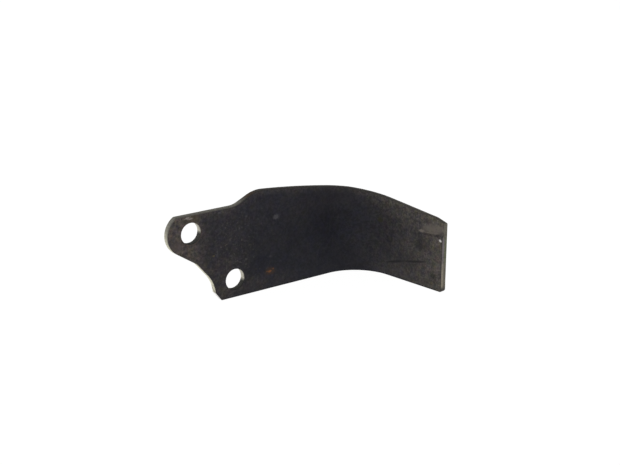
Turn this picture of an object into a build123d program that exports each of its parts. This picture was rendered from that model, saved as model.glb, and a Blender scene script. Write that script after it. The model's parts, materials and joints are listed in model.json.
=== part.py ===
from build123d import *
from math import asin, cos, degrees, radians, sin, tan
import os

# A spader blade: one steel plate, cut to outline, drilled for two bolts and bent once.
# It stands on its straight lower edge.
# X runs along the flat bolting leg towards the bend, Y out of the face that seats on
# the rotor flange, Z up across the width of the blade. All sizes are in millimetres
# and degrees. The sketch origin is the sharp lower corner of the bolting leg, on the
# hollow face; the finished blade has its origin midway between the bolt holes, on the
# seating face.

# Plate and bend
plate_thickness = 5.0
leg_length = 101.0        # lower corner to the start of the bend
bend_radius = 35.0        # on the hollow face
bend_angle = 82.0
tip_length = 56.2         # flat stretch beyond the bend

# Bolt holes
hole_diameter = 16.3      # clearance for a 16 mm bolt
hole_pitch = 57.0
hole_line_angle = 49.4    # from the leg's length, the upper hole lying back
lower_hole_x = 12.2
lower_hole_height = 14.3

# Head round the upper hole
head_radius = 16.4
head_setback = 3.2        # centre of the head's round, behind the upper hole
neck_angle = 58.6         # up the head's round to the neck's straight edge
head_corner_radius = 2.5  # where the two meet

# Hub side, from the head down to the lower corner
head_slope = 33.6         # of the straight run under the head
head_run = 20.0
hub_corner_radius = 3.0
hub_slope = 49.9
hub_run = 14.2
hub_clearance_radius = 27.0
heel_cut_height = 6.7     # slanted cut at the lower corner

# Shoulder and falling back edge
shoulder_foot_x = 14.1
shoulder_angle = 25.0
shoulder_rise = 8.6
shoulder_foot_radius = 18.0
shoulder_radius = 27.0
back_fall_at_shoulder = 4.1
back_fall_at_bend = 9.5
back_lean = 5.2           # the same cut seen from the end, down towards the tip

# Tip corners and cut edges
tip_clip_run = 9.0        # upper corner clipped off at a slant, along the back edge
tip_clip_drop = 1.8
tip_clip_radius = 12.0    # where the clip leaves the back edge
tip_upper_corner_radius = 0.8
tip_lower_corner_radius = 2.0
edge_softening = 0.5      # rounding left along the cut edges by blanking and blasting

# The leg, the bend and the tip each have a hollow face and an outer face
BROAD_FACES = 6

# Places that follow from the sizes above
lower_hole = Vector(lower_hole_x, lower_hole_height)
toward_upper_hole = Vector(-cos(radians(hole_line_angle)), sin(radians(hole_line_angle)))
upper_hole = lower_hole + toward_upper_hole * hole_pitch
pattern_centre = (lower_hole + upper_hole) * 0.5
head_centre = upper_hole - Vector(head_setback, 0)
neck_height = head_centre.Y + head_radius * sin(radians(neck_angle))
back_reach = bend_radius + plate_thickness + tip_length
blade_reach = leg_length + back_reach


def direction(angle):
    """Unit vector in the sketch at an angle from the leg's length."""
    return Vector(cos(radians(angle)), sin(radians(angle)))


def bent_strip(height):
    """The plate as a strip of even height, bent once about an upright axis."""
    head_end = Vector(head_centre.X - head_radius, 0)
    bend_start = Vector(leg_length, 0)
    leg = Line(head_end, bend_start)
    bend = JernArc(bend_start, (1, 0), bend_radius, -bend_angle)
    tip = Line(bend @ 1, bend @ 1 + (bend % 1) * tip_length)

    outside = Vector(0, plate_thickness)
    outer_leg = Line(head_end + outside, bend_start + outside)
    outer_bend = JernArc(bend_start + outside, (1, 0), bend_radius + plate_thickness, -bend_angle)
    outer_tip = Line(outer_bend @ 1, outer_bend @ 1 + (outer_bend % 1) * tip_length)

    head_cap = Line(head_end, head_end + outside)
    tip_cap = Line(tip @ 1, outer_tip @ 1)
    footprint = make_face(Curve() + [leg, bend, tip, tip_cap, outer_tip, outer_bend, outer_leg, head_cap])
    return extrude(footprint, amount=height)


def hub_side():
    """Edges from the lower corner up round the hub clearance and the head, and the hub corner."""
    off_run = direction(90 - head_slope)
    off_hub = direction(90 - hub_slope)
    head_contact = head_centre - off_run * head_radius
    hub_corner = head_contact + direction(-head_slope) * head_run
    hub_contact = hub_corner + direction(-hub_slope) * hub_run
    hub_centre = hub_contact - off_hub * hub_clearance_radius
    end_angle = degrees(asin((heel_cut_height - hub_centre.Y) / hub_clearance_radius))
    hub_arc = CenterArc(hub_centre, hub_clearance_radius, end_angle, 90 - hub_slope - end_angle)
    heel_cut = Line((0, 0), hub_arc @ 0)
    hub_side_run = Line(hub_contact, hub_corner)
    under_head = Line(hub_corner, head_contact)
    head_sweep = neck_angle + 90 - head_slope
    head_arc = CenterArc(head_centre, head_radius, 270 - head_slope, -head_sweep)
    return [heel_cut, hub_arc, hub_side_run, under_head, head_arc], hub_corner


def back_edge(head_corner):
    """Edges from the head's corner over the neck and shoulder to the bend line."""
    foot = Vector(shoulder_foot_x, neck_height)
    ramp_length = shoulder_rise / sin(radians(shoulder_angle))
    peak = foot + direction(shoulder_angle) * ramp_length
    fall_change = sin(radians(back_fall_at_bend)) - sin(radians(back_fall_at_shoulder))
    crown_radius = (leg_length - peak.X) / fall_change
    crown_turn = back_fall_at_shoulder - back_fall_at_bend
    crown = JernArc(peak, direction(-back_fall_at_shoulder), crown_radius, crown_turn)
    return [Line(head_corner, foot), Line(foot, peak), crown], foot, peak


def side_outline():
    """The leg seen square on, running on past the bend as a straight falling band."""
    lower_edges, hub_corner = hub_side()
    head_corner = lower_edges[-1] @ 1
    upper_edges, foot, peak = back_edge(head_corner)
    bend_top = upper_edges[-1] @ 1
    far_top = bend_top + direction(-back_fall_at_bend) * back_reach
    closing = Polyline(bend_top, far_top, (far_top.X, 0), (0, 0))
    face = make_face(Curve() + lower_edges + upper_edges + [closing])
    rounds = [
        (hub_corner, hub_corner_radius),
        (head_corner, head_corner_radius),
        (foot, shoulder_foot_radius),
        (peak, shoulder_radius),
    ]
    for place, radius in rounds:
        face = fillet(face.vertices().sort_by_distance(place)[0], radius)
    return face, bend_top


def back_plane(bend_top):
    """The slanted plane that the back edge lies in from the bend to the tip."""
    level_ahead = tan(radians(back_fall_at_bend))
    level_across = tan(radians(back_lean))
    point = (leg_length, 0, bend_top.Y)
    return Plane(origin=point, z_dir=(level_ahead, -level_across, 1))


def bolt_holes():
    """Two straight holes through the leg."""
    holes = Part()
    for place in (lower_hole, upper_hole):
        seat = Plane(origin=(place.X, plate_thickness, place.Y), z_dir=(0, 1, 0))
        holes += extrude(seat * Circle(hole_diameter / 2), amount=plate_thickness, both=True)
    return holes


def shape_tip(blade):
    """Clip the upper corner of the tip's free end and round the corners."""
    endwards = Axis((0, 0, 0), (cos(radians(bend_angle)), -sin(radians(bend_angle)), 0))
    end_face = blade.faces().sort_by(endwards)[-1]
    upper_edge = end_face.edges().sort_by(Axis.Z)[-1]
    blade = chamfer(upper_edge, tip_clip_drop, tip_clip_run, reference=end_face)
    clip_face = blade.faces().sort_by_distance(upper_edge.center())[0]
    clip_start = clip_face.edges().sort_by(endwards)[0]
    blade = fillet(clip_start, tip_clip_radius)
    for corner, radius in ((-1, tip_upper_corner_radius), (0, tip_lower_corner_radius)):
        end_face = blade.faces().filter_by(GeomType.PLANE).sort_by(endwards)[-1]
        blade = fillet(end_face.edges().sort_by(Axis.Z)[corner], radius)
    return blade


def soften_edges(blade):
    """Round every cut edge a little, but not the bend lines."""
    broad_faces = blade.faces().sort_by(SortBy.AREA)[-BROAD_FACES:]
    rims = broad_faces.edges()
    cut_edges = [edge for edge in rims if sum(edge.is_same(other) for other in rims) == 1]
    return fillet(cut_edges, edge_softening)


def spader_blade():
    """The whole blade, as one solid with its origin between the bolt holes."""
    outline, bend_top = side_outline()
    upright = Plane(origin=(0, 0, 0), x_dir=(1, 0, 0), z_dir=(0, -1, 0))
    band = extrude(upright * outline, amount=blade_reach, both=True)
    blade = bent_strip(blade_reach) & band
    blade = split(blade, bisect_by=back_plane(bend_top), keep=Keep.BOTTOM)
    blade = shape_tip(blade)
    blade = soften_edges(blade)
    blade = blade - bolt_holes()
    return Pos(-pattern_centre.X, -plate_thickness, -pattern_centre.Y) * blade


os.makedirs("parts", exist_ok=True)
export_step(spader_blade(), "parts/spader_blade.step")
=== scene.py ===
"""Looks of the spader blade: one black coated steel plate, bent once, scuffed at its head and tip, with light
and shade painted into the colours of its edges, bend and tip.
"""

import json
import math

import bpy
import numpy as np
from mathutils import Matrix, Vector
from mathutils.geometry import delaunay_2d_cdt


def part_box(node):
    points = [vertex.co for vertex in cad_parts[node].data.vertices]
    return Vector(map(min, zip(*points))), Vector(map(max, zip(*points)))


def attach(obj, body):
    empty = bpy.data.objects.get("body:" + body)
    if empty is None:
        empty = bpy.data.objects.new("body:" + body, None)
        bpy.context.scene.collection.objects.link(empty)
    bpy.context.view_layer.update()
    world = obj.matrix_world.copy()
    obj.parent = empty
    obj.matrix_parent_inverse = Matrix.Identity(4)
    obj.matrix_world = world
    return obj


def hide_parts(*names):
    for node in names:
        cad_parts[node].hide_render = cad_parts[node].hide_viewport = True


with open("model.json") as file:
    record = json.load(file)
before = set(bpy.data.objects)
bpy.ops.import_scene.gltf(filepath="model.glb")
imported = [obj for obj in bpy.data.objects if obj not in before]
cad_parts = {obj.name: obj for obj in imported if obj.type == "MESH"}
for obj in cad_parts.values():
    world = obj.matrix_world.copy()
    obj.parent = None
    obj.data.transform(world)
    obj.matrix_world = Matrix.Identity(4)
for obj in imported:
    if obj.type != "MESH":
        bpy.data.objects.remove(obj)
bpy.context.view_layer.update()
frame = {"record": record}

MM = 0.001

# The bolt pattern comes from the frame; the origin lies midway between the holes
bolts = next(mount for mount in frame["record"]["mounts"] if mount["name"] == "bolt_holes")
hole_pitch = bolts["dims"]["pcd_mm"] * MM
hole_radius = bolts["dims"]["hole_r_mm"] * MM
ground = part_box("spader_blade")[0].z

# Plate and bend
plate_thickness = 5.0 * MM
leg_length = 101.0 * MM
bend_radius = 35.0 * MM
bend_angle = math.radians(82)
tip_length = 56.2 * MM

# Head, hub clearance and heel, with angles in degrees
hole_line_angle = 49.4
lower_hole_inset = 12.2 * MM
head_radius = 16.4 * MM
head_setback = 3.2 * MM
neck_angle = 58.6
head_corner_radius = 2.5 * MM
head_slope = 33.6
head_run = 20.0 * MM
hub_corner_radius = 3.0 * MM
hub_slope = 49.9
hub_run = 14.2 * MM
hub_clearance_radius = 27.0 * MM
heel_cut_height = 6.7 * MM
heel_corner_radius = 1.7 * MM
cut_corner_radius = 0.8 * MM

# Shoulder, back edge and tip corners
shoulder_foot_inset = 14.1 * MM
shoulder_angle = 25.0
shoulder_rise = 8.6 * MM
shoulder_foot_radius = 18.0 * MM
shoulder_radius = 27.0 * MM
fall_at_shoulder = 4.1
fall_at_bend = 9.5
back_lean = 5.2
tip_clip_run = 9.0 * MM
tip_clip_drop = 1.8 * MM
tip_clip_radius = 12.0 * MM
tip_upper_radius = 0.8 * MM
tip_lower_radius = 2.0 * MM

# Worn edges and the fineness of the mesh
edge_softening = 0.45 * MM
hole_softening = 0.3 * MM
edge_steps = 4
wall_steps = 4
ring_width = 0.25 * MM
point_step = 1.2 * MM
shortest_gap = point_step / 50
grid_step = 1.35 * MM
grid_clearance = 0.7 * grid_step
merge_distance = 1e-9
fewest_arc_steps = 6
lean_depth = 12.0 * MM    # how far below the back edge its slant fades out
least_cut_share = 0.05    # from here on a face has the finish of the cut edges

# Corner pressed in on the hollow face at the tip's end, above this line of (along, up) in millimetres
press_line = [
    (184.0, 4.5), (187.0, 5.4), (191.3, 6.3), (196.3, 7.0), (201.3, 7.6), (208.2, 8.2), (214.0, 8.5),
]
press_start = 188.0 * MM  # along the plate; it is deepest at the free end
press_depth = 1.6 * MM
press_step = 1.1 * MM     # height of the step above the line
press_top = 13.0 * MM     # height from which it grows shallower
press_end = 18.0 * MM     # height from which it is shallowest
press_left_at_top = 0.85  # share of its depth left there
crease_step = 1.0 * MM
crease_clearance = 0.6 * crease_step

# Unevenness of the real plate
face_wave = 0.3 * MM
face_wave_length = 45.0 * MM
cut_wave = 0.1 * MM
cut_wave_length = 4.0 * MM

# Finish: gloss of the coat, and colours as linear light
coat_shine = 0.2
edge_shine = 0.05
coat_grain = 0.1 * MM
edge_grain = 0.15 * MM
any_depth = 1000.0        # reach of a patch through the plate, in millimetres
colours = {
    "blue_black": (0.0088, 0.0092, 0.0165, 1),
    "warm_black": (0.0106, 0.0103, 0.0148, 1),
    "deep_black": (0.006, 0.0064, 0.012, 1),
    "fleck": (0.06, 0.056, 0.052, 1),
    "slate": (0.034, 0.031, 0.037, 1),
    "grey_dust": (0.092, 0.077, 0.071, 1),
    "brown_dust": (0.105, 0.092, 0.078, 1),
    "earth": (0.075, 0.06, 0.03, 1),
    "thin_coat": (0.1, 0.088, 0.085, 1),
    "rust": (0.16, 0.06, 0.02, 1),
    "rust_ring": (0.074, 0.047, 0.03, 1),
    "rust_stain": (0.05, 0.026, 0.012, 1),
    "brown_stain": (0.104, 0.08, 0.075, 1),
    "scrape": (0.42, 0.38, 0.36, 1),
    "pale_smear_and_highlight": (0.155, 0.134, 0.115, 1),
    "chip": (0.6, 0.58, 0.56, 1),
    "grease_and_shadow": (0.006, 0.006, 0.007, 1),
    "grey_mark": (0.085, 0.08, 0.088, 1),
    "olive": (0.022, 0.022, 0.009, 1),
    "rim_black": (0.01, 0.0095, 0.0105, 1),
    "rim_grey": (0.05, 0.048, 0.046, 1),
    "painted_neck_rim_light": (0.135, 0.127, 0.112, 1),
    "edge_black": (0.07, 0.065, 0.059, 1),
    "painted_neck_light": (0.175, 0.168, 0.146, 1),
    "edge_cream": (0.155, 0.14, 0.112, 1),
    "edge_pale": (0.34, 0.32, 0.26, 1),
    "end_cream": (0.27, 0.24, 0.19, 1),
    "moss": (0.135, 0.14, 0.095, 1),
    "mauve": (0.17, 0.15, 0.155, 1),
    "end_olive": (0.145, 0.134, 0.108, 1),
    "hub_grey": (0.3, 0.275, 0.215, 1),
    "painted_hub_light": (0.64, 0.62, 0.49, 1),
    "bare_steel_glint": (0.9, 0.89, 0.86, 1),
    "painted_edge_light": (0.56, 0.54, 0.455, 1),
    "painted_hole_shade": (0.05, 0.05, 0.045, 1),
}

# Where the coat changes, from start to end, in millimetres along the plate unless a line says otherwise
hollow_side = (-2.0, -3.0)            # in depth
shoulder_bloom = (2.0, 34.0)          # up
shoulder_bloom_along = (104.0, 50.0)
painted_sheen_from_bend = (114.0, 156.0)
brown_dust_from = (60.0, 150.0)
head_dust = (2.0, -27.0)
tip_dust = (120.0, 240.0)
end_dust = (192.0, 212.0)
ledge_dust = (6.0, 0.5)               # from the edge
ledge_height = (16.0, 24.0)           # up
head_spots = (-2.0, -26.0)
leg_flecks = (75.0, 20.0)
worn_rim = (1.0, 0.1)                 # from the edge
worn_height = (-31.0, -26.0)          # up
worn_head = (10.0, -20.0)
worn_tip = (150.0, 200.0)
low_line = (1.7, 0.7)                 # above the lower edge
end_line = (2.0, 1.0)                 # before the free end
end_line_height = (9.0, 6.0)          # up
rust_ring = (1.36, 1.2)               # in hole radii
patch_edge = (1.0, 0.35)              # in half sizes of a patch

# Where the finish of the cut edges changes, given in the same way
neck_edge = (33.0, 22.0)
tip_edge = (140.0, 205.0)
outer_line = (-0.9, -0.5)             # in depth
outer_line_along = (30.0, 20.0)
left_edge = (9.0, 5.0)
pale_height = (35.0, 8.0)             # up, as the next two
smudged_height = (-21.0, -25.5)
heel_cut_band = (-28.6, -29.6)
underside = (1.0, 0.3)                # above the lower edge
end_face = (1.0, 0.4)                 # before the free end
end_front = (-2.8, -3.6)              # in depth
end_middle = (-18.0, -8.0)            # up, as the next two
end_corner = (6.0, 9.0)
end_foot = (-30.5, -33.5)
front_shade = (-2.4, -4.6)            # in depth
front_rim = (-4.2, -4.5)              # in depth
soft_edge = (0.98, 0.3)               # in shares of the cut
rim_grey_height = (-22.0, 0.0)        # up
neck_rim_height = (21.0, 27.0)        # up
neck_rim = (30.0, 14.0)
near_hole = (1.25, 1.15)              # in hole radii
upper_wall_bright = (-2.1, 1.1)       # above the hole's middle
lower_wall_bright = (-3.5, -0.3)

# Patches in millimetres: the middle as (along, up), half sizes, tilt in degrees and raggedness
fleck_patch = ((20, 6), (21, 27), 20, 1.0)
shoulder_patch = ((33, 43), (7, 6), 0, 0.0)

# Patches of dust, and how much each adds
dust_patches = [
    (((7, 33), (18, 8), 0, 0.8), 0.14),
    (((13, 6), (28, 30), 0, 0.8), 0.16),
    (((0, -20), (36, 26), 0, 0.8), 0.3),
    (((36, -31), (52, 12), 0, 0.8), 0.16),
    (((168, 23), (50, 11), -6, 0.8), 0.24),
]

# Marks on the hollow face, some of them painted shade and highlights: colour, strength and patch
marks = [
    # Painted shade low in the bend's hollow, where the plate faces itself
    ("deep_black", 0.35, ((121.0, -27.0), (32.0, 18.0), 0, 1.0)),
    ("slate", 0.2, ((110.0, 30.0), (34.0, 18.0), 0, 1.0)),
    ("rust_stain", 0.6, ((50.4, -21.8), (6.4, 4.4), 0, 1.0)),
    ("rust", 0.95, ((50.1, -21.9), (2.1, 1.3), 10, 0.8)),
    ("rust", 0.5, ((53.2, -20.4), (1.3, 0.8), 20, 0.6)),
    ("rust", 0.4, ((47.6, -21.6), (1.2, 0.8), 0, 0.6)),
    ("grey_mark", 0.6, ((56.5, 20.6), (3.6, 2.8), 0, 1.1)),
    ("earth", 0.4, ((-18.0, 33.5), (12.0, 4.5), 4, 1.0)),
    ("scrape", 0.5, ((-21.4, 34.0), (3.6, 0.9), 8, 1.2)),
    ("scrape", 0.4, ((-19.0, 33.0), (3.0, 0.9), 2, 1.2)),
    ("grease_and_shadow", 0.25, ((195.0, 0.0), (21.0, 9.0), 6, 0.7)),
    ("pale_smear_and_highlight", 0.5, ((203.5, 12.8), (14.5, 5.4), 4, 0.7)),
    ("pale_smear_and_highlight", 0.85, ((192.4, 9.0), (3.8, 1.6), 6, 0.8)),
    # Painted highlight on the ridge just above the pressed step
    ("pale_smear_and_highlight", 0.45, ((203.0, 9.2), (9.5, 1.0), 6, 0.4)),
    # Painted shadow along the pressed step, in this line and the next two
    ("grease_and_shadow", 0.35, ((188.5, 5.8), (7.5, 1.2), 14, 0.5)),
    ("grease_and_shadow", 0.4, ((201.5, 7.5), (11.0, 1.3), 6, 0.6)),
    ("grease_and_shadow", 0.2, ((209.8, 8.2), (5.0, 1.7), 3, 0.5)),
    ("grease_and_shadow", 0.5, ((212.8, 5.5), (0.9, 4.5), 0, 0.4)),
    ("chip", 1.0, ((211.0, 5.2), (1.9, 1.2), -24, 0.7)),
    ("grease_and_shadow", 0.75, ((166.0, -22.6), (13.0, 1.4), 16, 0.6)),
    ("grease_and_shadow", 0.7, ((188.0, -17.2), (16.0, 1.2), 13, 0.6)),
    ("grease_and_shadow", 0.4, ((190.7, -3.9), (6.0, 5.0), 0, 1.2)),
    ("grease_and_shadow", 0.3, ((179.0, -18.0), (17.0, 12.0), 0, 0.9)),
    ("grease_and_shadow", 0.2, ((202.0, -32.0), (13.0, 6.0), 0, 0.9)),
    ("grease_and_shadow", 0.6, ((205.1, -24.7), (4.2, 3.2), 0, 0.9)),
    ("olive", 0.8, ((150.4, 8.2), (3.6, 2.8), 0, 0.7)),
    ("grey_mark", 0.22, ((50.7, -9.8), (1.7, 1.4), 0, 0.8)),
    ("grey_mark", 0.35, ((29.4, 26.0), (1.6, 1.2), 0, 0.8)),
    ("grey_mark", 0.5, ((5.8, 33.0), (1.8, 1.2), 0, 0.8)),
    ("earth", 0.9, ((0.2, 0.7), (1.5, 1.1), 0, 0.6)),
    ("grey_mark", 0.5, ((-29.7, 35.4), (1.6, 1.6), 0, 0.8)),
    ("grey_mark", 0.3, ((-33.6, 19.9), (1.4, 2.6), 0, 0.9)),
    ("grey_mark", 0.3, ((-28.4, 13.2), (2.0, 3.0), 0, 0.9)),
    ("brown_stain", 0.45, ((-30.5, 13.5), (7.0, 6.0), 0, 0.9)),
]

# Studio, in metres and degrees, with the camera as fitted to the photo
camera_place = (-0.440027, -0.722512, 0.294486)
camera_down = 18.183
camera_turn = -36.38
camera_lens = 69.86       # in millimetres, as the next one
camera_sensor = 36
floor_reach = 6.0
floor_grey = 0.08
floor_glow = 0.98
sky_glow = 0.45
window_width = 1.4
window_height = 1.0
window_power = 10
window_place = (-0.75, 1.0, 0.95)
window_aim = (0.05, -0.03, 0)
white = (1, 1, 1, 1)


def aim(angle):
    """Unit vector in the plate's plane, at an angle in degrees from its length."""
    return Vector((math.cos(math.radians(angle)), math.sin(math.radians(angle))))


# Places on the flat plate, as (along, up)
lower_hole = aim(-hole_line_angle) * (hole_pitch / 2)
upper_hole = -lower_hole
heel = Vector((lower_hole.x - lower_hole_inset, ground))
bend_start = heel.x + leg_length
bend_end = bend_start + bend_radius * bend_angle
far_end = bend_end + tip_length
head_centre = upper_hole - Vector((head_setback, 0))
neck_height = head_centre.y + head_radius * math.sin(math.radians(neck_angle))
lower_edge = heel.y / MM  # in millimetres, as the next one
free_end = far_end / MM


def arc(centre, radius, start, end):
    """Points along an arc between two angles in degrees, both ends included."""
    length = math.radians(abs(end - start)) * radius
    count = max(fewest_arc_steps, round(length / point_step))
    return [centre + aim(start + (end - start) * i / count) * radius for i in range(count + 1)]


def rounded(before, corner, after, radius):
    """The arc that rounds a corner between two straight edges."""
    into = (corner - before).normalized()
    out = (after - corner).normalized()
    turn = into.angle(out)
    side = math.copysign(1, into.cross(out))
    left = Vector((-into.y, into.x)) * side
    centre = corner - into * radius * math.tan(turn / 2) + left * radius
    start = math.degrees(math.atan2(-left.y, -left.x))
    return arc(centre, radius, start, start + side * math.degrees(turn))


def crown():
    """Centre and radius of the long curve of the back edge, with the shoulder's sharp peak."""
    foot = Vector((heel.x + shoulder_foot_inset, neck_height))
    peak = foot + aim(shoulder_angle) * (shoulder_rise / math.sin(math.radians(shoulder_angle)))
    change = math.sin(math.radians(fall_at_bend)) - math.sin(math.radians(fall_at_shoulder))
    radius = (bend_start - peak.x) / change
    centre = peak - aim(90 - fall_at_shoulder) * radius
    return foot, peak, centre, radius


foot, peak, crown_centre, crown_radius = crown()
bend_top = crown_centre + aim(90 - fall_at_bend) * crown_radius


def back_height(along):
    """Height of the slanted back edge on the hollow face, beyond the start of the bend."""
    turn = min((along - bend_start) / bend_radius, bend_angle)
    beyond = max(along - bend_end, 0)
    ahead = bend_radius * math.sin(turn) + beyond * math.cos(turn)
    across = bend_radius * (1 - math.cos(turn)) + beyond * math.sin(turn)
    fall = math.tan(math.radians(fall_at_bend)) * ahead
    lean = math.tan(math.radians(back_lean)) * across
    return bend_top.y - fall - lean


def shoulder():
    """The curve over the shoulder, from the crown back to the ramp."""
    ramp = aim(shoulder_angle)
    inward = aim(shoulder_angle - 90)
    offset = peak + inward * shoulder_radius - crown_centre
    half = offset.dot(ramp)
    spare = offset.length_squared - (crown_radius - shoulder_radius) ** 2
    centre = crown_centre + offset + ramp * (math.sqrt(half * half - spare) - half)
    to_crown = centre - crown_centre
    crown_angle = math.degrees(math.atan2(to_crown.y, to_crown.x))
    return crown_angle, arc(centre, shoulder_radius, crown_angle, 90 + shoulder_angle)


def head_corner():
    """The small arc from the neck's edge into the head's round, and the angle where it ends there."""
    reach = head_radius - head_corner_radius
    rise = neck_height - head_corner_radius - head_centre.y
    setback = math.sqrt(reach * reach - rise * rise)
    angle = math.degrees(math.atan2(rise, -setback))
    return arc(head_centre + Vector((-setback, rise)), head_corner_radius, 90, angle), angle


def hub_side():
    """The head's round, the run under it, the hub clearance and the top of the heel cut."""
    head_contact = head_centre - aim(90 - head_slope) * head_radius
    hub_corner = head_contact + aim(-head_slope) * head_run
    hub_contact = hub_corner + aim(-hub_slope) * hub_run
    hub_centre = hub_contact - aim(90 - hub_slope) * hub_clearance_radius
    cut_height = heel.y + heel_cut_height - hub_centre.y
    cut_angle = math.degrees(math.asin(cut_height / hub_clearance_radius))
    neck_corner, head_angle = head_corner()
    head = arc(head_centre, head_radius, head_angle, 270 - head_slope)
    corner = rounded(head_contact, hub_corner, hub_contact, hub_corner_radius)
    hub = arc(hub_centre, hub_clearance_radius, 90 - hub_slope, cut_angle)
    cut_top = rounded(hub[-2], hub[-1], heel, cut_corner_radius)
    return neck_corner + head + corner + hub[:-1] + cut_top


def outline():
    """The flat plate's outline, anticlockwise from the heel as seen on the hollow face."""
    tip_low = Vector((far_end, heel.y))
    tip_top = Vector((far_end, back_height(far_end) - tip_clip_drop))
    clip_start = Vector((far_end - tip_clip_run, back_height(far_end - tip_clip_run)))
    bend_end_top = Vector((bend_end, back_height(bend_end)))
    steps = round((bend_end - bend_start) / point_step)
    over_bend = [bend_end - (bend_end - bend_start) * i / steps for i in range(steps + 1)]
    crown_angle, over_shoulder = shoulder()
    left_side = hub_side()
    points = rounded(left_side[-1], heel, tip_low, heel_corner_radius)
    points += rounded(heel, tip_low, tip_top, tip_lower_radius)
    points += rounded(tip_low, tip_top, clip_start, tip_upper_radius)
    points += rounded(tip_top, clip_start, bend_end_top, tip_clip_radius)
    points += [Vector((along, back_height(along))) for along in over_bend]
    points += arc(crown_centre, crown_radius, 90 - fall_at_bend, crown_angle)
    points += over_shoulder
    points += rounded(peak, foot, Vector((head_centre.x, neck_height)), shoulder_foot_radius)
    points += left_side
    return even_points(points)


def even_points(points):
    """The same closed loop with doubled points dropped and long straight stretches divided."""
    kept = []
    for i, point in enumerate(points):
        after = points[(i + 1) % len(points)]
        gap = (after - point).length
        if gap < shortest_gap:
            continue
        count = max(1, round(gap / point_step))
        kept += [point.lerp(after, j / count) for j in range(count)]
    return np.array([tuple(point) for point in kept])


def bolt_hole(centre):
    """A hole's rim, clockwise, so that its left side is the steel."""
    points = arc(centre, hole_radius, 360, 0)[:-1]
    return np.array([tuple(point) for point in points])


def outward(loop):
    """At each point of a loop, the way off the steel, stretched at corners so that insets stay even."""
    edges = np.roll(loop, -1, 0) - loop
    edges /= np.linalg.norm(edges, axis=1)[:, None]
    normals = np.c_[edges[:, 1], -edges[:, 0]]
    mean = normals + np.roll(normals, 1, 0)
    return mean / (mean * normals).sum(1)[:, None]


def edge_profile(softening):
    """Rows from the hollow face round the cut to the seat face, as (inset, depth, share of cut)."""
    quarter = [math.pi / 2 * i / edge_steps for i in range(edge_steps + 1)]
    near = [(softening + ring_width, 0.0, 0.0)]
    near += [(softening * (1 - math.sin(a)), softening * (1 - math.cos(a)), a / quarter[-1]) for a in quarter]
    cut_width = plate_thickness - 2 * softening
    middle = [(0.0, softening + cut_width * i / wall_steps, 1.0) for i in range(1, wall_steps)]
    far = [(inset, plate_thickness - depth, share) for inset, depth, share in reversed(near)]
    return near + middle + far


def inside(points, loop):
    """Which points lie inside a closed loop."""
    odd = np.zeros(len(points), bool)
    for a, b in zip(loop, np.roll(loop, -1, 0)):
        spans = (a[1] > points[:, 1]) != (b[1] > points[:, 1])
        rise = np.where(spans, b[1] - a[1], 1.0)
        crossing = a[0] + (points[:, 1] - a[1]) / rise * (b[0] - a[0])
        odd ^= spans & (points[:, 0] < crossing)
    return odd


def nearest(points, targets):
    """Distance from each point to the nearest target."""
    return np.array([np.hypot(*(targets - point).T).min() for point in points])


def soft_step(values, start, end):
    """From 0 at start to 1 at end, level at both."""
    share = np.clip((values - start) / (end - start), 0, 1)
    return share * share * (3 - 2 * share)


def press_height(along):
    """Height of the pressed corner's lower edge."""
    places = np.array(press_line) * MM
    return np.interp(along, places[:, 0], places[:, 1])


def press_share(along, up):
    """How far the tip's upper corner is pressed in, from 0 to 1 at the free end."""
    above = soft_step(up - press_height(along), 0, press_step)
    fading = 1 - (1 - press_left_at_top) * soft_step(up, press_top, press_end)
    return above * soft_step(along, press_start, far_end) * fading


def creases():
    """Rows of points along the foot and the top of the pressed corner's step."""
    along = np.arange(press_line[0][0] * MM, far_end - grid_step, crease_step)
    foot_row = np.c_[along, press_height(along)]
    return [foot_row, foot_row + [0, press_step]]


def face_grid(rings):
    """Points in staggered rows over the plate, clear of the rings round its edges."""
    low, high = rings[0].min(0), rings[0].max(0)
    row_step = grid_step * math.sqrt(3) / 2
    rows = np.arange(low[1], high[1], row_step)
    columns = np.arange(low[0], high[0], grid_step)
    grid = np.array([(x + grid_step / 2 * (i % 2), z) for i, z in enumerate(rows) for x in columns])
    grid = grid[inside(grid, rings[0])]
    for ring in rings[1:]:
        grid = grid[~inside(grid, ring)]
    return grid[nearest(grid, np.concatenate(rings)) > grid_clearance]


def face_triangles(rings, rows, grid):
    """Triangles of a broad face between its rings, along the rows and through the grid."""
    points = np.concatenate(rings + rows + [grid])
    borders, start = [], 0
    for ring in rings:
        ids = range(start, start + len(ring))
        borders += [(i, start + (i - start + 1) % len(ring)) for i in ids]
        start += len(ring)
    for row in rows:
        borders += [(i, i + 1) for i in range(start, start + len(row) - 1)]
        start += len(row)
    made = delaunay_2d_cdt([Vector(point) for point in points], borders, [], 0, merge_distance)
    corners = np.array(made[2])
    middles = points[corners].mean(1)
    keep = inside(middles, rings[0])
    for ring in rings[1:]:
        keep &= ~inside(middles, ring)
    return corners[keep]


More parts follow.
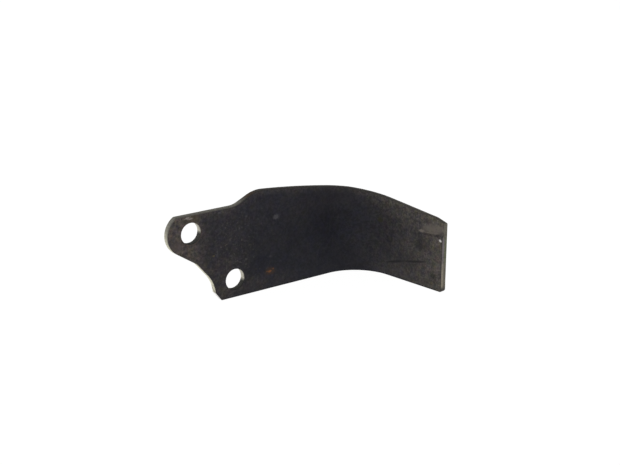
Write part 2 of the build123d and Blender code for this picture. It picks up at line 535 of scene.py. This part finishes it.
def flat_plate():
    """The blade before it is bent: broad faces, softened edges and cut walls, as one closed mesh."""
    loops = [outline(), bolt_hole(upper_hole), bolt_hole(lower_hole)]
    softenings = [edge_softening, hole_softening, hole_softening]
    places, faces, cuts, rings, first_ids, last_ids = [], [], [], [], [], []
    count = 0
    for loop, softening in zip(loops, softenings):
        away = outward(loop)
        profile = edge_profile(softening)
        size = len(loop)
        for row, (inset, depth, share) in enumerate(profile):
            spot = loop - away * inset
            places.append(np.c_[spot[:, 0], np.full(size, depth - plate_thickness), spot[:, 1]])
            cuts.append(np.full(size, share))
            if row:
                here = count + row * size
                before = here - size
                for i in range(size):
                    after = (i + 1) % size
                    faces.append((before + i, here + i, here + after, before + after))
        rings.append(loop - away * profile[0][0])
        first_ids += range(count, count + size)
        last_ids += range(count + (len(profile) - 1) * size, count + len(profile) * size)
        count += len(profile) * size
    rows = creases()
    grid = face_grid(rings)
    grid = grid[nearest(grid, np.concatenate(rows)) > crease_clearance]
    triangles = face_triangles(rings, rows, grid)
    grid = np.concatenate(rows + [grid])
    for depth, ids in ((0.0, first_ids), (plate_thickness, last_ids)):
        numbers = ids + list(range(count, count + len(grid)))
        places.append(np.c_[grid[:, 0], np.full(len(grid), depth - plate_thickness), grid[:, 1]])
        cuts.append(np.zeros(len(grid)))
        count += len(grid)
        order = (0, 1, 2) if depth == 0 else (2, 1, 0)
        faces += [tuple(numbers[corner[i]] for i in order) for corner in triangles]
    return np.concatenate(places), faces, np.concatenate(cuts), np.concatenate(loops)


def add_numbers(mesh, name, values):
    """Store one number for each point of a mesh."""
    mesh.attributes.new(name, "FLOAT", "POINT").data.foreach_set("value", values.astype(np.float32))


def plate_object():
    """The flat plate as an object, carrying what its finish and its bend read."""
    places, faces, cut_share, rim_points = flat_plate()
    mesh = bpy.data.meshes.new("blade_plate")
    mesh.from_pydata(places.tolist(), [], faces)
    flat = places[:, [0, 2]]
    beyond = np.maximum(flat[:, 0], bend_start)
    tops = np.array([back_height(along) for along in beyond])
    below = np.clip(1 - (tops - flat[:, 1]) / lean_depth, 0, 1)
    add_numbers(mesh, "rim", nearest(flat, rim_points))
    add_numbers(mesh, "cut", cut_share)
    add_numbers(mesh, "press", press_share(flat[:, 0], flat[:, 1]))
    add_numbers(mesh, "back_share", below * below * (3 - 2 * below))
    spots = mesh.attributes.new("flat_place", "FLOAT_VECTOR", "POINT")
    spots.data.foreach_set("vector", places.astype(np.float32).ravel())
    made = bpy.data.objects.new("blade_plate", mesh)
    bpy.context.scene.collection.objects.link(made)
    return made


def feed(tree, socket, value):
    """Join another node's socket to this one, or set it to a number."""
    if isinstance(value, bpy.types.NodeSocket):
        tree.links.new(value, socket)
    else:
        socket.default_value = value


def calc(tree, operation, *values, clamp=False):
    """A sum in a node tree."""
    made = tree.nodes.new("ShaderNodeMath")
    made.operation = operation
    made.use_clamp = clamp
    for socket, value in zip(made.inputs, values):
        feed(tree, socket, value)
    return made.outputs[0]


def node(tree, kind, inputs=(), **settings):
    """A node with its settings and its inputs."""
    made = tree.nodes.new(kind)
    for name, value in settings.items():
        setattr(made, name, value)
    for key, value in dict(inputs).items():
        feed(tree, made.inputs[key], value)
    return made


def bend_tree():
    """Nodes that bend a flat plate about an upright line, slant its back edge and make it uneven."""
    tree = bpy.data.node_groups.new("bend plate", "GeometryNodeTree")
    sockets = tree.interface
    sockets.new_socket("Plate", in_out="INPUT", socket_type="NodeSocketGeometry")
    sizes = ("Bend start", "Bend radius", "Bend angle", "Thickness", "Back fall", "Back lean")
    for name in sizes + ("Press depth", "Face wave", "Face wave length", "Cut wave", "Cut wave length"):
        sockets.new_socket(name, in_out="INPUT", socket_type="NodeSocketFloat")
    for name in ("Face finish", "Cut finish"):
        sockets.new_socket(name, in_out="INPUT", socket_type="NodeSocketMaterial")
    sockets.new_socket("Plate", in_out="OUTPUT", socket_type="NodeSocketGeometry")
    given = tree.nodes.new("NodeGroupInput").outputs

    def sum_of(operation, *values):
        return calc(tree, operation, *values)

    def stored(name):
        return node(tree, "GeometryNodeInputNamedAttribute", {"Name": name}, data_type="FLOAT").outputs[0]

    def wave(place, length, height):
        scale = sum_of("DIVIDE", 1.0, length)
        cloud = node(tree, "ShaderNodeTexNoise", {"Vector": place, "Scale": scale, "Detail": 1.0})
        return sum_of("MULTIPLY", cloud.outputs[0], height)

    # Sheared edges are a little uneven
    position = node(tree, "GeometryNodeInputPosition").outputs[0]
    cut = stored("cut")
    depth_of_bite = sum_of("MULTIPLY", given["Cut wave"], -1.0)
    bite = sum_of("MULTIPLY", wave(position, given["Cut wave length"], depth_of_bite), cut)
    normal = node(tree, "GeometryNodeInputNormal").outputs[0]
    nudge = node(tree, "ShaderNodeVectorMath", {0: normal, "Scale": bite}, operation="SCALE")
    rough_cut = node(
        tree, "GeometryNodeSetPosition", {"Geometry": given["Plate"], "Offset": nudge.outputs[0]}
    )

    # The bend
    spot = node(tree, "ShaderNodeSeparateXYZ", {0: position}).outputs
    on_face = node(tree, "ShaderNodeCombineXYZ", {0: spot[0], 2: spot[2]}).outputs[0]
    swell = wave(on_face, given["Face wave length"], given["Face wave"])
    radius, angle, thickness = given["Bend radius"], given["Bend angle"], given["Thickness"]
    towards_hollow = sum_of("DIVIDE", sum_of("MULTIPLY", spot[1], -1.0), thickness)
    press = sum_of("MULTIPLY", sum_of("MULTIPLY", stored("press"), given["Press depth"]), towards_hollow)
    lifted = sum_of("ADD", sum_of("SUBTRACT", spot[1], swell), press)
    past = sum_of("SUBTRACT", spot[0], given["Bend start"])
    turn = sum_of("MINIMUM", sum_of("MAXIMUM", sum_of("DIVIDE", past, radius), 0.0), angle)
    beyond = sum_of("MAXIMUM", sum_of("SUBTRACT", past, sum_of("MULTIPLY", radius, angle)), 0.0)
    sine, cosine = sum_of("SINE", turn), sum_of("COSINE", turn)
    outer_radius = sum_of("ADD", radius, thickness)
    reach = sum_of("ADD", outer_radius, lifted)
    leg = sum_of("MINIMUM", spot[0], given["Bend start"])
    round_bend, past_bend = sum_of("MULTIPLY", reach, sine), sum_of("MULTIPLY", beyond, cosine)
    along = sum_of("ADD", leg, sum_of("ADD", round_bend, past_bend))
    drop = sum_of("ADD", outer_radius, sum_of("MULTIPLY", beyond, sine))
    across = sum_of("SUBTRACT", sum_of("MULTIPLY", reach, cosine), drop)

    # The back edge is one slanted cut right through the bend and the tip
    depth = sum_of("ADD", lifted, thickness)
    hollow_drop = sum_of("ADD", radius, sum_of("MULTIPLY", beyond, sine))
    hollow_across = sum_of("SUBTRACT", sum_of("MULTIPLY", radius, cosine), hollow_drop)
    seat_across = sum_of("MINIMUM", sum_of("ADD", across, thickness), 0.0)
    extra_drop = sum_of("SUBTRACT", seat_across, hollow_across)
    lean = sum_of("MULTIPLY", sum_of("TANGENT", given["Back lean"]), extra_drop)
    fall = sum_of("MULTIPLY", sum_of("TANGENT", given["Back fall"]), sum_of("MULTIPLY", depth, sine))
    slant = sum_of("MULTIPLY", sum_of("SUBTRACT", lean, fall), stored("back_share"))
    up = sum_of("ADD", spot[2], slant)
    place = node(tree, "ShaderNodeCombineXYZ", {0: along, 1: across, 2: up}).outputs[0]
    bent = node(
        tree, "GeometryNodeSetPosition", {"Geometry": rough_cut.outputs[0], "Position": place}
    )

    # Finish
    whole = node(tree, "GeometryNodeRealizeInstances", {0: bent.outputs[0]})
    smooth = node(tree, "GeometryNodeSetShadeSmooth", {"Geometry": whole.outputs[0], "Shade Smooth": True})
    faces = node(
        tree, "GeometryNodeSetMaterial", {"Geometry": smooth.outputs[0], "Material": given["Face finish"]}
    )
    is_cut = sum_of("GREATER_THAN", cut, least_cut_share)
    cuts = node(
        tree,
        "GeometryNodeSetMaterial",
        {"Geometry": faces.outputs[0], "Selection": is_cut, "Material": given["Cut finish"]},
    )
    result = tree.nodes.new("NodeGroupOutput")
    tree.links.new(cuts.outputs[0], result.inputs[0])
    return tree


def bent_blade(face_finish, cut_finish):
    """The flat plate, bent and finished, as a plain mesh."""
    flat = plate_object()
    tree = bend_tree()
    bend = flat.modifiers.new("bend", "NODES")
    bend.node_group = tree
    values = {
        "Bend start": bend_start,
        "Bend radius": bend_radius,
        "Bend angle": bend_angle,
        "Thickness": plate_thickness,
        "Back fall": math.radians(fall_at_bend),
        "Back lean": math.radians(back_lean),
        "Press depth": press_depth,
        "Face wave": face_wave,
        "Face wave length": face_wave_length,
        "Cut wave": cut_wave,
        "Cut wave length": cut_wave_length,
        "Face finish": face_finish,
        "Cut finish": cut_finish,
    }
    for item in tree.interface.items_tree:
        if item.in_out == "INPUT" and item.name in values:
            bend[item.identifier] = values[item.name]
    bpy.context.view_layer.update()
    evaluated = flat.evaluated_get(bpy.context.evaluated_depsgraph_get())
    bent = bpy.data.meshes.new_from_object(evaluated)
    flat.modifiers.remove(bend)
    flat.data = bent
    return flat


def attribute(tree, name, output):
    """What the plate carries at each point."""
    return node(tree, "ShaderNodeAttribute", attribute_name=name).outputs[output]


def new_finish(name):
    """A new finish, with its node tree and its shader."""
    material = bpy.data.materials.new(name)
    material.use_nodes = True
    return material, material.node_tree, material.node_tree.nodes["Principled BSDF"]


def plate_place(tree):
    """The place on the flat plate in millimetres, as a vector and as along, depth and up."""
    stored = attribute(tree, "flat_place", "Vector")
    place = node(tree, "ShaderNodeVectorMath", {0: stored, "Scale": 1 / MM}, operation="SCALE").outputs[0]
    return place, node(tree, "ShaderNodeSeparateXYZ", {0: place}).outputs


def cloud(tree, place, size, detail=2.0, stretch=(1, 1, 1), seed=0.0):
    """Noise from 0 to 1 with patches of about this size in millimetres."""
    shift = {"Vector": place, "Location": (seed, seed, seed), "Scale": stretch}
    spot = node(tree, "ShaderNodeMapping", shift)
    inputs = {"Vector": spot.outputs[0], "Scale": 1 / size, "Detail": detail}
    return node(tree, "ShaderNodeTexNoise", inputs).outputs[0]


def step(tree, value, start, end, low=0.0, high=1.0):
    """A soft step of a value, from low at start to high at end."""
    inputs = {"Value": value, "From Min": start, "From Max": end, "To Min": low, "To Max": high}
    return node(tree, "ShaderNodeMapRange", inputs, interpolation_type="SMOOTHSTEP").outputs[0]


def blend(tree, share, base, over, way="MIX"):
    """One colour laid over another by a share."""
    mixer = node(tree, "ShaderNodeMix", data_type="RGBA", blend_type=way)
    feed(tree, mixer.inputs[0], share)
    feed(tree, mixer.inputs[6], base)
    feed(tree, mixer.inputs[7], over)
    return mixer.outputs[2]


def times(tree, first, *others):
    """The product of values."""
    for value in others:
        first = calc(tree, "MULTIPLY", first, value)
    return first


def weighted(tree, pairs):
    """The sum of values, each times its weight."""
    total = 0.0
    for value, weight in pairs:
        total = calc(tree, "ADD", total, times(tree, value, weight))
    return total


def oval(tree, place, centre, reach, tilt=0.0):
    """How far out each place lies from an oval's middle, 1 on its rim, through the whole plate."""
    inputs = {
        "Vector": place,
        "Location": (centre[0], 0, centre[1]),
        "Rotation": (0, math.radians(-tilt), 0),
        "Scale": (reach[0], any_depth, reach[1]),
    }
    local = node(tree, "ShaderNodeMapping", inputs, vector_type="TEXTURE").outputs[0]
    return node(tree, "ShaderNodeVectorMath", {0: local}, operation="LENGTH").outputs["Value"]


def patch(tree, place, mark, rag):
    """A soft oval patch on the plate, 1 at its middle, its edge ragged by a noise."""
    centre, reach, tilt, ragged = mark
    uneven = times(tree, calc(tree, "SUBTRACT", rag, 0.5), ragged)
    return step(tree, calc(tree, "ADD", oval(tree, place, centre, reach, tilt), uneven), *patch_edge)


def hole_reach(tree, place, centre):
    """Distance from the axis of a bolt hole, in hole radii."""
    return oval(tree, place, centre, (hole_radius / MM, hole_radius / MM))


def rim_distance(tree):
    """Distance from the nearest edge of the plate, in millimetres."""
    return calc(tree, "DIVIDE", attribute(tree, "rim", "Fac"), MM)


def dust_share(tree, place, along, up):
    """How much dust lies on the broad faces: most on the head and towards the tip's end."""
    wide = cloud(tree, place, 18.0, seed=3.0)
    grains = weighted(tree, [
        (cloud(tree, place, 4.2, 3.0, seed=11.0), 0.5),
        (cloud(tree, place, 1.6, 2.0, seed=23.0), 0.35),
        (cloud(tree, place, 0.7, 1.0, seed=31.0), 0.15),
    ])
    under_edge = times(tree, step(tree, rim_distance(tree), *ledge_dust), step(tree, up, *ledge_height))
    parts = [
        (step(tree, along, *head_dust), 0.9),
        (step(tree, along, *tip_dust), 0.66),
        (step(tree, along, *end_dust), 0.25),
        (step(tree, wide, 0.4, 0.75, 0.01, 0.05), 1.0),
        (under_edge, 0.26),
    ]
    parts += [(patch(tree, place, where, wide), strength) for where, strength in dust_patches]
    grain_share = step(tree, grains, 0.34, 0.68, 0.4, 1.38)
    return calc(tree, "MULTIPLY", weighted(tree, parts), grain_share, clamp=True), grains


def black_coat():
    """Thin black coat on the broad faces, dusty at the head and the tip, with the marks of handling, a
    painted sheen from the bend on and painted shade in the bend and along the tip's pressed step.
    """
    material, tree, shader = new_finish("black_coat")
    place, (along, depth, up) = plate_place(tree)
    hollow = step(tree, depth, *hollow_side)
    blotch = cloud(tree, place, 9.0, 3.0, seed=7.0)
    tone = cloud(tree, place, 26.0, 2.0, seed=13.0)
    rag = cloud(tree, place, 1.1, 2.0, seed=17.0)
    colour = blend(tree, step(tree, tone, 0.38, 0.62), colours["blue_black"], colours["warm_black"])
    colour = blend(tree, step(tree, blotch, 0.35, 0.65, 0.0, 0.5), colour, colours["deep_black"])

    # Greyer over the shoulder, and paler from the bend on: a painted sheen for the light on the tip's face
    over_shoulder = times(
        tree, step(tree, up, *shoulder_bloom), step(tree, along, *shoulder_bloom_along, 0.35, 1.0)
    )
    greying_and_sheen = calc(tree, "ADD", step(tree, along, *painted_sheen_from_bend), over_shoulder, clamp=True)
    greying_and_sheen = times(tree, greying_and_sheen, step(tree, tone, 0.3, 0.7, 0.2, 0.5))
    colour = blend(tree, greying_and_sheen, colour, colours["slate"])

    # Dust, greyer on the head and browner at the tip
    share, grains = dust_share(tree, place, along, up)
    dust = blend(tree, step(tree, along, *brown_dust_from), colours["grey_dust"], colours["brown_dust"])
    tint = cloud(tree, place, 2.6, 2.0, seed=41.0)
    dust = blend(tree, step(tree, tint, 0.5, 0.7, 0.0, 0.5), dust, colours["earth"])
    colour = blend(tree, share, colour, dust)

    # Brown spots in the head's dust, and spots that the dust leaves bare
    on_head = step(tree, along, *head_spots)
    for kind, size, seed, start in (("brown_stain", 4.4, 71.0, 0.5), ("slate", 3.2, 83.0, 0.52)):
        spots = step(tree, cloud(tree, place, size, 2.0, seed=seed), start, 0.66, 0.0, 0.7)
        colour = blend(tree, times(tree, spots, on_head), colour, colours[kind])

    # Pale flecks over the leg, most of them in one patch of the hollow face
    fleck = step(tree, cloud(tree, place, 1.8, 1.0, seed=53.0), 0.57, 0.7)
    often = times(tree, patch(tree, place, fleck_patch, blotch), hollow)
    often = calc(tree, "MULTIPLY_ADD", often, 0.45, step(tree, along, *leg_flecks, 0.06, 0.22))
    colour = blend(tree, times(tree, often, fleck), colour, colours["fleck"])

    # Fine speckle and faint tints in the coat
    speckle = weighted(tree, [(rag, 1.2), (cloud(tree, place, 1.8, 1.0, seed=29.0), 1.6), (tint, 1.2)])
    speckle = step(tree, speckle, 1.65, 2.35, 0.74, 1.26)
    warm = calc(tree, "SUBTRACT", cloud(tree, place, 5.5, 2.0, seed=61.0), 0.5)
    green = calc(tree, "SUBTRACT", cloud(tree, place, 4.5, 2.0, seed=67.0), 0.5)
    red = calc(tree, "MULTIPLY_ADD", warm, 0.35, speckle)
    leaf = calc(tree, "MULTIPLY_ADD", green, 0.4, speckle)
    blue = calc(tree, "MULTIPLY_ADD", calc(tree, "ADD", warm, green), -0.4, speckle)
    tints = node(tree, "ShaderNodeCombineXYZ", {0: red, 1: leaf, 2: blue}).outputs[0]
    colour = blend(tree, 1.0, colour, tints, "MULTIPLY")

    # Rims rubbed thin
    ragged_rim = calc(tree, "ADD", rim_distance(tree), times(tree, calc(tree, "SUBTRACT", rag, 0.5), 1.6))
    worn = times(tree, step(tree, ragged_rim, *worn_rim), step(tree, up, *worn_height))
    at_head, at_tip = step(tree, along, *worn_head, 0.12, 0.5), step(tree, along, *worn_tip, 0.0, 0.2)
    colour = blend(tree, times(tree, worn, calc(tree, "ADD", at_head, at_tip)), colour, colours["thin_coat"])

    # Painted shade along the lower edge, and a dark line beside the free end
    along_foot = step(tree, up, *(lower_edge + inset for inset in low_line))
    beside_end = step(tree, along, *(free_end - inset for inset in end_line))
    beside_end = times(tree, beside_end, step(tree, up, *end_line_height))
    dark = times(tree, calc(tree, "MAXIMUM", along_foot, beside_end), 0.45)
    colour = blend(tree, dark, colour, colours["deep_black"])

    # Rust round the upper hole
    off_hole = hole_reach(tree, place, upper_hole / MM)
    ring = step(tree, calc(tree, "MULTIPLY_ADD", rag, 0.3, off_hole), *rust_ring, 0.0, 0.4)
    colour = blend(tree, ring, colour, colours["rust_ring"])

    # Marks on the hollow face, among them painted shade in the bend and a painted shadow and highlight along
    # the tip's pressed step
    for kind, strength, where in marks:
        seen = times(tree, patch(tree, place, where, rag), hollow, strength)
        colour = blend(tree, seen, colour, colours[kind])
    tree.links.new(colour, shader.inputs["Base Color"])

    # Gloss and grain
    gloss = weighted(tree, [(blotch, 0.22), (share, 0.3), (grains, 0.12)])
    tree.links.new(calc(tree, "ADD", gloss, 0.45, clamp=True), shader.inputs["Roughness"])
    shader.inputs["Specular IOR Level"].default_value = coat_shine
    skin = weighted(tree, [(grains, 1.0), (cloud(tree, place, 0.6, 1.0, seed=5.0), 0.4), (blotch, 1.5)])
    bump = node(tree, "ShaderNodeBump", {"Height": skin, "Strength": 0.6, "Distance": coat_grain})
    tree.links.new(bump.outputs[0], shader.inputs["Normal"])
    return material


def hole_walls(tree, place, centre, bright, colour):
    """The coat inside a bolt hole, with a painted highlight above and painted shade below."""
    near = step(tree, hole_reach(tree, place, centre), *near_hole)
    height = node(tree, "ShaderNodeSeparateXYZ", {0: place}).outputs[2]
    above = step(tree, calc(tree, "SUBTRACT", height, centre[1]), *bright)
    inner = blend(tree, above, colours["painted_hole_shade"], colours["painted_edge_light"])
    return blend(tree, near, colour, inner)


def cut_coat():
    """The same coat on the cut edges, paler on the back edge, with painted highlights along the neck and
    round the head, and bare steel at the heel cut with its reflection painted in.
    """
    material, tree, shader = new_finish("cut_coat")
    place, (along, depth, up) = plate_place(tree)
    # The edges round the neck and head are painted lighter, a painted highlight of the light on them, and
    # paler towards the tip's back edge
    colour = blend(tree, step(tree, along, *neck_edge), colours["edge_black"], colours["painted_neck_light"])
    colour = blend(tree, step(tree, along, *tip_edge, 0.0, 0.5), colour, colours["edge_cream"])
    on_shoulder = patch(tree, place, shoulder_patch, 0.5)
    colour = blend(tree, times(tree, on_shoulder, 0.6), colour, colours["rust_ring"])
    # Painted highlight along the rim next to the seat face, round the head
    pale_line = times(tree, step(tree, depth, *outer_line), step(tree, along, *outer_line_along, 0.0, 0.6))
    colour = blend(tree, pale_line, colour, colours["edge_pale"])

    # Round the head the walls are painted paler downwards, to the hub side, a painted highlight of the light
    # from the left; lower down it is smudged
    left = step(tree, along, *left_edge)
    colour = blend(tree, times(tree, step(tree, up, *pale_height), left), colour, colours["painted_hub_light"])
    smudges = cloud(tree, place, 1.7, 2.0, stretch=(1, 0.5, 1), seed=97.0)
    smudges = times(tree, step(tree, smudges, 0.44, 0.56, 0.0, 0.85), step(tree, up, *smudged_height))
    colour = blend(tree, times(tree, smudges, left), colour, colours["hub_grey"])
    # The heel cut's wall is bare steel, its bright reflection painted in near white
    heel_cut = times(tree, step(tree, up, *heel_cut_band), left)
    colour = blend(tree, heel_cut, colour, colours["bare_steel_glint"])
    below = step(tree, up, *(lower_edge + inset for inset in underside))
    colour = blend(tree, below, colour, colours["edge_black"])

    # The free end
    end = step(tree, along, *(free_end - inset for inset in end_face))
    front = step(tree, depth, *end_front)
    low_end = blend(tree, front, colours["edge_cream"], colours["end_cream"])
    high_end = blend(tree, front, colours["moss"], colours["mauve"])
    end_colour = blend(tree, step(tree, up, *end_middle), low_end, high_end)
    end_colour = blend(tree, step(tree, up, *end_corner), end_colour, colours["end_olive"])
    end_colour = blend(tree, step(tree, up, *end_foot), end_colour, colours["edge_black"])
    colour = blend(tree, end, colour, end_colour)
    for centre, bright in ((upper_hole, upper_wall_bright), (lower_hole, lower_wall_bright)):
        colour = hole_walls(tree, place, centre / MM, bright, colour)

    # Sheared across the thickness, so streaked that way, and darker towards the hollow face
    streaks = cloud(tree, place, 1.3, 3.0, stretch=(1, 0.25, 1), seed=2.0)
    spots = cloud(tree, place, 3.2, 3.0, seed=9.0)
    uneven = weighted(tree, [(streaks, 0.9), (spots, 0.8)])
    shade = calc(tree, "MAXIMUM", step(tree, depth, *front_shade, 1.0, 0.75), end)
    tone = times(tree, calc(tree, "ADD", uneven, 0.15), shade)
    grey = node(tree, "ShaderNodeCombineXYZ", {0: tone, 1: tone, 2: tone}).outputs[0]
    colour = blend(tree, 1.0, colour, grey, "MULTIPLY")

    # Towards the hollow face the softened rim is black, with a painted highlight along the neck
    on_rim = step(tree, attribute(tree, "cut", "Fac"), *soft_edge)
    on_rim = times(tree, on_rim, step(tree, depth, *front_rim), calc(tree, "MULTIPLY_ADD", end, -0.85, 1.0))
    rim_colour = blend(tree, step(tree, up, *rim_grey_height), colours["rim_black"], colours["rim_grey"])
    painted_edge_light = times(tree, step(tree, up, *neck_rim_height), step(tree, along, *neck_rim))
    rim_colour = blend(tree, painted_edge_light, rim_colour, colours["painted_neck_rim_light"])
    colour = blend(tree, on_rim, colour, rim_colour)
    tree.links.new(colour, shader.inputs["Base Color"])
    tree.links.new(step(tree, spots, 0.3, 0.7, 0.6, 0.85), shader.inputs["Roughness"])
    shader.inputs["Specular IOR Level"].default_value = edge_shine
    bump = node(tree, "ShaderNodeBump", {"Height": uneven, "Strength": 0.7, "Distance": edge_grain})
    tree.links.new(bump.outputs[0], shader.inputs["Normal"])
    return material


def studio():
    """Pale floor, soft light and the camera."""
    floor_mesh = bpy.data.meshes.new("floor")
    corners = [(x * floor_reach, y * floor_reach, ground) for x, y in ((-1, -1), (1, -1), (1, 1), (-1, 1))]
    floor_mesh.from_pydata(corners, [], [(0, 1, 2, 3)])
    floor = bpy.data.objects.new("floor", floor_mesh)
    bpy.context.scene.collection.objects.link(floor)
    paint = bpy.data.materials.new("floor_white")
    paint.use_nodes = True
    shader = paint.node_tree.nodes["Principled BSDF"]
    shader.inputs["Base Color"].default_value = (floor_grey, floor_grey, floor_grey, 1)
    shader.inputs["Roughness"].default_value = 0.9
    shader.inputs["Specular IOR Level"].default_value = 0.0
    shader.inputs["Emission Color"].default_value = white
    shader.inputs["Emission Strength"].default_value = floor_glow
    floor_mesh.materials.append(paint)

    world = bpy.data.worlds.new("soft_white")
    world.use_nodes = True
    backdrop = world.node_tree.nodes["Background"]
    backdrop.inputs["Color"].default_value = white
    backdrop.inputs["Strength"].default_value = sky_glow
    bpy.context.scene.world = world

    key = bpy.data.lights.new("window", "AREA")
    key.shape = "RECTANGLE"
    key.size = window_width
    key.size_y = window_height
    key.energy = window_power
    lamp = bpy.data.objects.new("window", key)
    lamp.location = window_place
    lamp.rotation_euler = (Vector(window_aim) - lamp.location).to_track_quat("-Z", "Y").to_euler()
    bpy.context.scene.collection.objects.link(lamp)

    view = bpy.data.cameras.new("camera")
    view.lens = camera_lens
    view.sensor_width = camera_sensor
    view.sensor_fit = "HORIZONTAL"
    camera = bpy.data.objects.new("camera", view)
    camera.location = camera_place
    camera.rotation_euler = (math.radians(90 - camera_down), 0, math.radians(camera_turn))
    bpy.context.scene.collection.objects.link(camera)
    bpy.context.scene.camera = camera
    bpy.context.scene.view_settings.view_transform = "Standard"


studio()
blade = bent_blade(black_coat(), cut_coat())
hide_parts("spader_blade")
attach(blade, "root")
